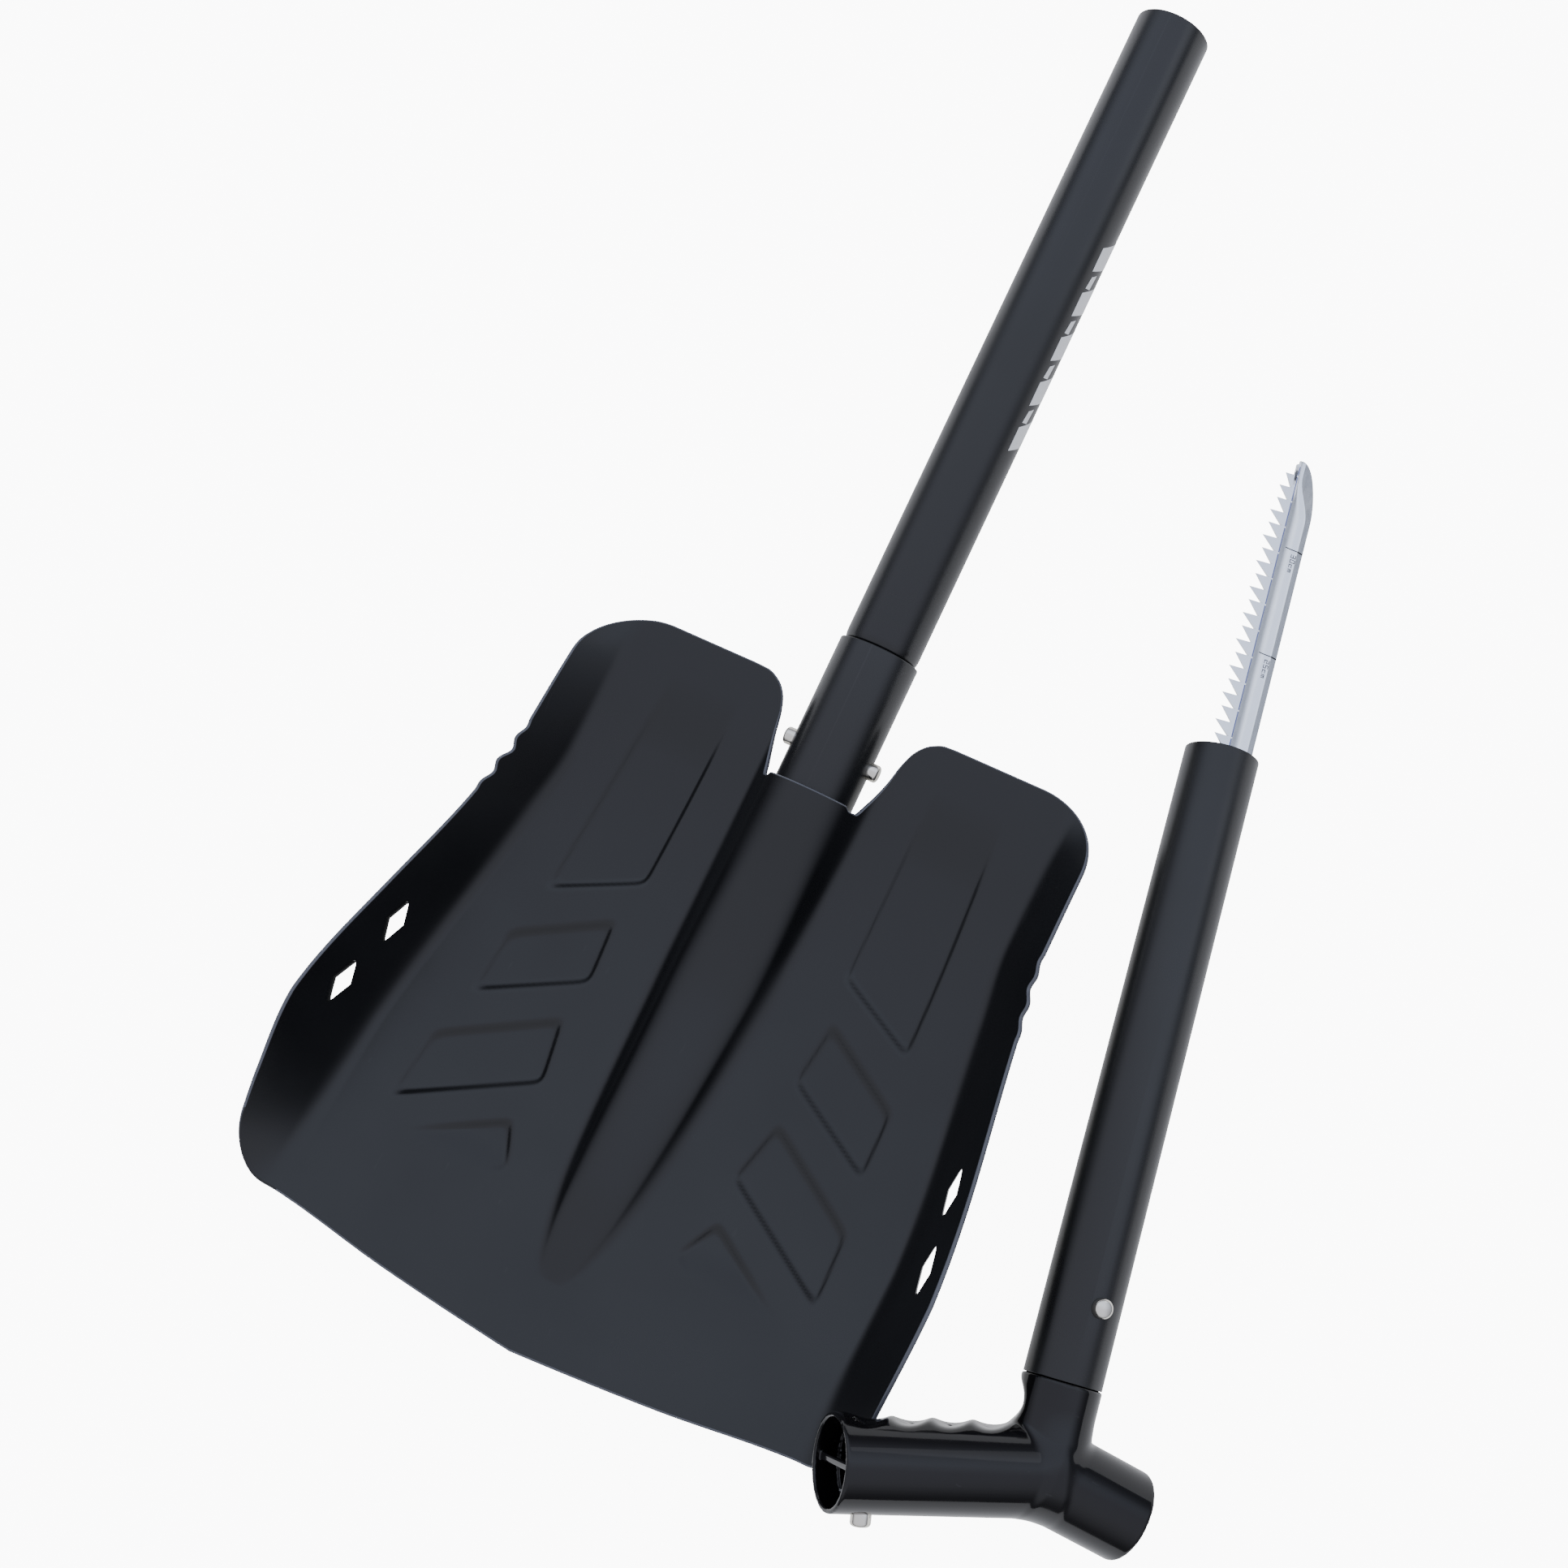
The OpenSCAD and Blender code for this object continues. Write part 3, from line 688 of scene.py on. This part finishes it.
def grip_field(P):
    long_end, short_end = CROSS + LONG_ARM * ARM_LONG, CROSS + SHORT_ARM * ARM_SHORT
    to_tube = Vector((-LONG_ARM.y, LONG_ARM.x, 0)) * -1
    long_arm = rod_field(P, CROSS - LONG_ARM * 2, long_end, ARM_R - ARM_LIP) - ARM_LIP
    short_arm = rod_field(P, CROSS - SHORT_ARM * 2, short_end, ARM_R - SHORT_LIP) - SHORT_LIP
    body = soft_min(long_arm, short_arm, ARM_BLEND)
    flare = NECK_FLARE * ease((FLARE_FROM - P[..., 1]) / FLARE_LONG)
    neck = rod_field(P, (0, -1, 0), CROSS, NECK_R) - NECK_LIP - flare
    body = soft_min(body, neck, NECK_BLEND)
    body = soft_max(body, np.abs(P[..., 2]) - GRIP_HALF, HALF_BLEND)
    # Finger grooves: slanting rolls across the side towards the tube.
    slant = Vector(UPRIGHT) + LONG_ARM * 0.55
    for k in range(GROOVES):
        at = CROSS + LONG_ARM * (GROOVE_FROM + GROOVE_PITCH * k)
        at = at + to_tube * (ARM_R + GROOVE_R - GROOVE_DEEP)
        body = soft_max(body, -line_field(P, at, slant, GROOVE_R), GROOVE_BLEND)
    # Both arms are hollow; the long one opens wider at its mouth.
    past = 4
    for start, end, bore in ((CROSS + LONG_ARM * 24, long_end + LONG_ARM * past, ARM_BORE),
                             (long_end - LONG_ARM * MOUTH_DEEP, long_end + LONG_ARM * past, MOUTH_BORE),
                             (CROSS + SHORT_ARM * 22, short_end + SHORT_ARM * past, ARM_BORE)):
        body = soft_max(body, -rod_field(P, start, end, bore), EDGE_BLEND)
    # The web across the long arm's bore.
    axes = (LONG_ARM, to_tube, UPRIGHT)
    web = box_field(P, CROSS + LONG_ARM * WEB_AT, axes, WEB_HALF) - WEB_ROUND
    body = soft_min(body, web, EDGE_BLEND)
    # The spigot in the handle tube, its bore and the slot for the saw's tang.
    spigot = rod_field(P, (0, -3, 0), (0, SPIGOT_LEN, 0), SPIGOT_R) - SPIGOT_ROUND
    body = np.minimum(body, spigot)
    body = soft_max(body, -rod_field(P, (0, -14, 0), (0, 38, 0), SPIGOT_BORE), 0.6)
    slot = box_field(P, (0, 66, 0), ((1, 0, 0), (0, 1, 0), UPRIGHT), SAW_SLOT_HALF)
    body = np.maximum(body, -slot)
    # The two holes that the buttons stand in.
    for start, end in ((ARM_BUTTON_AT + ARM_SQUARE * 5, ARM_BUTTON_AT + ARM_SQUARE * 30),
                       ((0, GRIP_BUTTON_AT, 5), (0, GRIP_BUTTON_AT, 30))):
        body = soft_max(body, -rod_field(P, start, end, PRESS_HOLE), PRESS_BLEND)
    return body


def make_grip():
    step = 0.6
    deep = GRIP_HALF + 2
    verts, faces = skin(grip_field, (-94, -76, -deep), (50, SPIGOT_LEN + 2, deep), step)
    grip = add("grip_moulding", verts, faces, HANDLE, "grip_and_saw", ["grip"],
               grip_black, 70)
    m = grip.modifiers.new("even", "LAPLACIANSMOOTH")
    m.iterations, m.lambda_factor = 2, 0.25
    apply_modifiers(grip, 70)


# ---- Saw ------------------------------------------------------------------
SAW_BACK, SAW_FOLD, SAW_ROOT, SAW_TIP, SAW_SHEET = 13.9, 1.7, 0.6, 403.5, 1.4
TIP_LONG, TOOTH_PITCH, TOOTH_DEEP, TEETH_FROM = 26.0, 6.2, 6.8, 74.0
RULER_ZERO, BEVEL_WIDE, TIP_DROP, SAW_FROM, ROW_STEP = 62.9, 3.0, 10.8, 61, 2.0
HOLLOW_DEEP, BEVEL_FALL, FOLD_BELOW, TOOTH_SWING, FOLD_TILT = 0.55, 0.16, 0.12, 0.35, 14
# The tang in the grip: X and Y of two opposite corners.
TANG = (-10, 39), (9, 61.2)


def saw_back(y):
    """The back edge, rounded over to the fold line at the tip."""
    t = min(1.0, max(0.0, (y - (SAW_TIP - TIP_LONG)) / TIP_LONG))
    return SAW_BACK - TIP_DROP * (1 - math.sqrt(max(0.0, 1 - t * t)))


def bevel_line(y):
    """Where the ground bevel along the back starts; it sweeps across to the fold line at the tip."""
    t = float(ease(np.array((y - (SAW_TIP - 27)) / 20)))
    return min(SAW_BACK - BEVEL_WIDE - t * 6.5, saw_back(y) - 0.4)


def saw_height(x, y):
    """Height of the sheet's upper face: flat at the fold line, a shallow hollow, then the bevel."""
    edge = bevel_line(y)
    if x <= SAW_FOLD:
        return SAW_SHEET / 2 - FOLD_BELOW
    if x >= edge:
        return SAW_SHEET / 2 - BEVEL_FALL * (x - edge)
    u = (x - SAW_FOLD) / max(edge - SAW_FOLD, 0.1)
    return SAW_SHEET / 2 - HOLLOW_DEEP * math.sin(math.pi * u) ** 1.5


def tooth_len(y):
    """The teeth get shorter towards the tip."""
    return 1 - 0.45 * max(0.0, y - SAW_TIP + 36) / 30


def make_saw():
    verts, faces = [], []
    rows = [SAW_FROM + ROW_STEP * k for k in range(159)]
    rows += [SAW_TIP - TIP_LONG + TIP_LONG * math.sin(math.pi / 2 * k / 40) for k in range(1, 41)]
    shares = [0, 0.04, 0.12, 0.25, 0.4, 0.55, 0.7, 0.85, 0.93, 1]
    for y in rows:
        back, edge = max(saw_back(y), SAW_FOLD + 0.6), max(bevel_line(y), SAW_FOLD + 0.3)
        xs = [SAW_FOLD + (edge - SAW_FOLD) * q for q in shares]
        xs += [edge + (back - edge) * q for q in (0.03, 0.3, 0.65, 1)]
        verts += [(x, y, saw_height(x, y)) for x in xs]
        verts += [(x, y, -SAW_SHEET / 2) for x in xs]
    w = len(shares) + 4
    n = 2 * w
    for j in range(len(rows) - 1):
        for k in range(w - 1):
            a, b = j * n + k, j * n + w + k
            faces += [(a, a + 1, a + n + 1, a + n), (b, b + n, b + n + 1, b + 1)]
        for k in (0, w - 1):
            a, b = j * n + k, j * n + w + k
            faces.append((a, a + n, b + n, b))
    for j in (0, len(rows) - 1):
        a = j * n
        faces += [(a + k, a + w + k, a + w + 1 + k, a + k + 1) for k in range(w - 1)]

    def slab(points, top, bottom):
        base, m = len(verts), len(points)
        verts.extend((x, y, z + top) for x, y, z in points)
        verts.extend((x, y, z + bottom) for x, y, z in points)
        faces.append(tuple(range(base, base + m)))
        faces.append(tuple(range(base + 2 * m - 1, base + m - 1, -1)))
        for k in range(m):
            after = (k + 1) % m
            faces.append((base + k, base + m + k, base + m + after, base + after))

    # The tang in the grip, and the folded strip that the teeth stand on.
    (x0, y0), (x1, y1) = TANG
    slab([(x0, y0, 0), (x1, y0, 0), (x1, y1, 0), (x0, y1, 0)], SAW_SHEET / 2, -SAW_SHEET / 2)
    tilt = math.tan(math.radians(FOLD_TILT))
    half = SAW_SHEET / 2 - 0.1
    drop = (SAW_ROOT - SAW_FOLD) * tilt
    steps, strip_from, fold = 60, TEETH_FROM - 6, SAW_FOLD + 0.05
    length = SAW_TIP - 2 - strip_from
    for k in range(steps):
        y0, y1 = (strip_from + length * (k + q) / steps for q in (0, 1))
        slab([(fold, y0, 0), (fold, y1, 0), (SAW_ROOT, y1, drop), (SAW_ROOT, y0, drop)], half, -half)
    # Teeth: ground triangles, set in turn to one face and the other.
    count = int((SAW_TIP - 6 - TEETH_FROM) / TOOTH_PITCH)
    for i in range(count):
        y = TEETH_FROM + i * TOOTH_PITCH
        deep = (TOOTH_DEEP - (i % 2) * 0.8) * tooth_len(y)
        swing = TOOTH_SWING if i % 2 else -TOOTH_SWING
        flat = y + TOOTH_PITCH - 0.35
        base = len(verts)
        for side in (1, -1):
            for x, yy, thin in ((SAW_ROOT + 0.3, y - 0.1, 1), (SAW_ROOT + 0.3, flat + 0.1, 1),
                                (SAW_ROOT - deep, flat, 0.2), (SAW_ROOT - 0.4, y + 0.1, 1),
                                (SAW_ROOT - 0.45 * deep, y + 0.65 * TOOTH_PITCH, 0.95)):
                lift = (x - SAW_FOLD) * tilt + swing * (SAW_ROOT - x) / TOOTH_DEEP
                verts.append((x, yy, lift + side * thin * (half - 0.04)))
        a, b = base, base + 5
        faces += [(a, a + 1, a + 4, a + 3), (a + 1, a + 2, a + 4), (a + 3, a + 4, a + 2),
                  (b + 3, b + 4, b + 1, b), (b + 4, b + 2, b + 1), (b + 2, b + 4, b + 3)]
        faces += [(a + p, b + p, b + q, a + q) for p, q in ((0, 1), (1, 2), (2, 3), (3, 0))]
    # Small nubs on the fold line, one to every second tooth.
    for i in range(0, count, 2):
        y = TEETH_FROM + (i + 1.9) * TOOTH_PITCH
        x0, x1, y0, y1 = SAW_FOLD - 0.15, SAW_FOLD + 0.55, y - 0.35, y + 0.35
        slab([(x0, y0, 0), (x1, y0, 0), (x1, y1, 0), (x0, y1, 0)], SAW_SHEET / 2 + 0.06, 0)
    add("saw_sheet", verts, faces, HANDLE, "grip_and_saw", ["saw"], saw_steel, 20)
    make_ruler()


DIGITS = {  # strokes in a box one wide and two high
    "0": [((0, 0), (1, 0)), ((1, 0), (1, 2)), ((1, 2), (0, 2)), ((0, 2), (0, 0))],
    "1": [((0.5, 0), (0.5, 2))],
    "2": [((0, 2), (1, 2)), ((1, 2), (1, 1)), ((1, 1), (0, 1)), ((0, 1), (0, 0)), ((0, 0), (1, 0))],
    "3": [((0, 2), (1, 2)), ((1, 2), (1, 0)), ((1, 0), (0, 0)), ((0, 1), (1, 1))],
    "5": [((1, 2), (0, 2)), ((0, 2), (0, 1)), ((0, 1), (1, 1)), ((1, 1), (1, 0)), ((1, 0), (0, 0))],
    "c": [((1, 1.1), (0, 1.1)), ((0, 1.1), (0, 0)), ((0, 0), (1, 0))],
    "m": [((0, 0), (0, 1.1)), ((0, 1.1), (1, 1.1)), ((0.5, 1.1), (0.5, 0)), ((1, 1.1), (1, 0))],
}


def make_ruler():
    """Lines across the saw with a number at every fifth centimetre, and a dark blue strip of painted
    shade along the fold.
    """
    verts, faces = [], []
    above, thin, thick = 0.06, 0.2, 0.3
    wide, tall, stroke, text_at, text_pitch = 1.3, 1.05, 0.15, 8.5, 2.25

    def patch(x0, x1, y0, y1, pieces=1):
        for k in range(pieces):
            a, b = x0 + (x1 - x0) * k / pieces, x0 + (x1 - x0) * (k + 1) / pieces
            base = len(verts)
            verts.extend((x, y, saw_height(x, y) + above)
                         for x, y in ((a, y0), (b, y0), (b, y1), (a, y1)))
            faces.append(tuple(range(base, base + 4)))

    for cm in (5, 10, 15, 20, 25, 30):
        y = RULER_ZERO + cm * 10
        patch(SAW_FOLD + 3.2, bevel_line(y), y - thin, y + thin, 8)
        patch(bevel_line(y), saw_back(y) - 0.1, y - thick, y + thick, 2)
        pen = y - 2.2
        for letter in f"{cm}cm":
            for (u0, v0), (u1, v1) in DIGITS[letter]:
                # Letters read down the saw: their width runs towards the grip.
                xa, xb = sorted((text_at + v0 * tall, text_at + v1 * tall))
                ya, yb = sorted((pen - u0 * wide, pen - u1 * wide))
                patch(xa - stroke, xb + stroke, ya - stroke, yb + stroke)
            pen -= text_pitch
    add("saw_ruler", verts, faces, HANDLE, "grip_and_saw", (), ink)
    # A dark blue strip along the fold line: painted shade where the sheet bends.
    x0, x1, y0, y1 = SAW_FOLD + 0.02, SAW_FOLD + 0.5, TEETH_FROM - 4, SAW_TIP - 3
    line = [(x, y, SAW_SHEET / 2 + 0.02) for x, y in ((x0, y0), (x1, y0), (x1, y1), (x0, y1))]
    add("saw_fold_painted_shade", line, [(0, 1, 2, 3)], HANDLE, "grip_and_saw", (), fold_painted_shade)


# ---- Print on the lower shaft ---------------------------------------------
def make_print():
    """A row of slanted bars and diamonds, wrapped round the right side of the shaft."""
    verts, faces = [], []
    r = SHAFT_R + 0.05

    def shape(points, steps=20):
        """A four-cornered patch; points are (degrees round the shaft, distance along it)."""
        base = len(verts)
        for i in range(steps + 1):
            for k in range(steps + 1):
                u, v = i / steps, k / steps
                weights = (1 - u) * (1 - v), u * (1 - v), u * v, (1 - u) * v
                a, y = (sum(w * p[c] for w, p in zip(weights, points)) for c in (0, 1))
                verts.append((r * math.sin(math.radians(a)), y, r * math.cos(math.radians(a))))
        for i in range(steps):
            for k in range(steps):
                c = base + i * (steps + 1) + k
                faces.append((c, c + 1, c + steps + 2, c + steps + 1))

    low, high, start, pitch, bars = 62.0, 118.0, 171.0, 22.0, 5
    for i in range(bars):
        y = start + i * pitch
        shape([(low, y), (high, y + 10), (high, y + 24), (low, y + 11.5)])
        if i < bars - 1:
            shape([(low + 2, y + 14), (low + 13, y + 15), (low + 16, y + 22.5), (low + 5, y + 20)])
    add("shaft_print", verts, faces, SHOVEL, "shaft", (), silver_print)


# ---- Studio ---------------------------------------------------------------
PANEL_SPOT, PANEL_SIZE = (1.15, 1.12, 0.68), (0.8, 0.6)
PANEL_POWER, PANEL_TINT = 0.8, (0.93, 0.95, 1.0)


def lamp(name, centre, spot, size, power, tint):
    data = bpy.data.lights.new(name, "AREA")
    data.shape, data.size, data.size_y, data.energy, data.color = "RECTANGLE", *size, power, tint
    obj = bpy.data.objects.new(name, data)
    bpy.context.scene.collection.objects.link(obj)
    obj.location = centre + Vector(spot)
    obj.rotation_euler = (centre - obj.location).to_track_quat("-Z", "Y").to_euler()


WHITE = 10.0


def seen_white(tree, strength, lit):
    """Sets a strength that looks pure white when seen directly and lights the scene with `lit`."""
    seen = tree.nodes.new("ShaderNodeLightPath")
    step = tree.nodes.new("ShaderNodeMapRange")
    tree.links.new(seen.outputs["Is Camera Ray"], step.inputs["Value"])
    if isinstance(lit, float):
        step.inputs["To Min"].default_value = lit
    else:
        tree.links.new(lit, step.inputs["To Min"])
    step.inputs["To Max"].default_value = WHITE
    tree.links.new(step.outputs["Result"], strength)


def make_floor(low, centre):
    """A lit table that looks pure white."""
    size, gap = 6.0, 0.0005
    verts = [(-size, -size, 0), (size, -size, 0), (size, size, 0), (-size, size, 0)]
    mesh = bpy.data.meshes.new("floor")
    mesh.from_pydata(verts, [], [(0, 1, 2, 3)])
    floor = bpy.data.objects.new("floor", mesh)
    bpy.context.scene.collection.objects.link(floor)
    floor.location = (centre.x, centre.y, low.z - gap)
    pale = material("pale_floor", (0.5, 0.5, 0.5), 0.0, 0.8, Emission_Color=(1.0, 1.0, 1.0, 1))
    shader = pale.node_tree.nodes["Principled BSDF"]
    seen_white(pale.node_tree, shader.inputs["Emission Strength"], 0.75)
    mesh.materials.append(pale)


# Where the sky starts and stops brightening with height, and how bright it is there.
SKY_FALL = (("From Min", 0.05), ("From Max", 0.62), ("To Min", 0.32), ("To Max", 1.55))
# The sky's colour from beyond the cutting edge, at -Y (0), to beyond the shaft, at +Y (1).
SKY_COLOURS = ((0.0, (0.55, 0.56, 0.62)), (0.5, (0.60, 0.62, 0.72)), (0.60, (0.62, 0.64, 0.76)),
               (0.70, (0.76, 0.83, 1.0)), (0.84, (0.72, 0.78, 0.95)), (1.0, (0.60, 0.62, 0.75)))


def make_sky():
    """A broad soft glow overhead that falls off towards a dim horizon, bluer over the shaft."""
    world = bpy.data.worlds.new("studio")
    bpy.context.scene.world = world
    world.use_nodes = True
    tree = world.node_tree
    back, toward = tree.nodes["Background"], tree.nodes.new("ShaderNodeTexCoord")
    parts, fall = tree.nodes.new("ShaderNodeSeparateXYZ"), tree.nodes.new("ShaderNodeMapRange")
    tree.links.new(toward.outputs["Generated"], parts.inputs["Vector"])
    tree.links.new(parts.outputs["Z"], fall.inputs["Value"])
    fall.interpolation_type = "SMOOTHSTEP"
    for k, v in SKY_FALL:
        fall.inputs[k].default_value = v
    ramp = tree.nodes.new("ShaderNodeValToRGB")
    ahead = tree.nodes.new("ShaderNodeMapRange")
    tree.links.new(parts.outputs["Y"], ahead.inputs["Value"])
    ahead.inputs["From Min"].default_value = -1
    tree.links.new(ahead.outputs["Result"], ramp.inputs["Factor" if "Factor" in ramp.inputs else "Fac"])
    for at, _ in SKY_COLOURS[1:-1]:
        ramp.color_ramp.elements.new(at)
    for stop, (at, colour) in zip(ramp.color_ramp.elements, SKY_COLOURS):
        stop.position, stop.color = at, (*colour, 1)
    tree.links.new(ramp.outputs["Color"], back.inputs["Color"])
    seen_white(tree, back.inputs["Strength"], fall.outputs["Result"])


def make_studio():
    """A white table under a graded sky, with one faint panel off to the side for the metal."""
    low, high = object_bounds()
    centre = (low + high) / 2
    make_floor(low, centre)
    make_sky()
    lamp("far_panel", centre + Vector((0.1, 0.2, 0)), PANEL_SPOT, PANEL_SIZE, PANEL_POWER, PANEL_TINT)


# The camera's own right and backward directions, and its place from the shovel's origin in mm.
CAMERA_RIGHT, CAMERA_BACK = (0.8967, 0.4224, -0.1320), (0.1739, -0.0621, 0.9828)
CAMERA_AT, LENS, SHIFT = (203.1, -53.7, 819.5), 44.55, (-0.0938, 0.0438)


def make_camera():
    """The main view: high over the right side of the blade, the shaft running up to the right."""
    data = bpy.data.cameras.new("camera")
    cam = bpy.data.objects.new("camera", data)
    bpy.context.scene.collection.objects.link(cam)
    right, back = Vector(CAMERA_RIGHT).normalized(), Vector(CAMERA_BACK).normalized()
    up = back.cross(right).normalized()
    right = up.cross(back)
    cam.matrix_world = Matrix((right, up, back)).transposed().to_4x4()
    cam.matrix_world.translation = SHOVEL.translation + Vector(CAMERA_AT) * MM
    data.sensor_width, data.lens = 36.0, LENS
    data.shift_x, data.shift_y = SHIFT
    data.clip_start, data.clip_end = 0.05, 20
    bpy.context.scene.camera = cam


make_blade()
make_socket()
make_lower_shaft()
make_handle_tube()
make_fittings()
make_grip()
make_saw()
make_print()
make_studio()
make_camera()
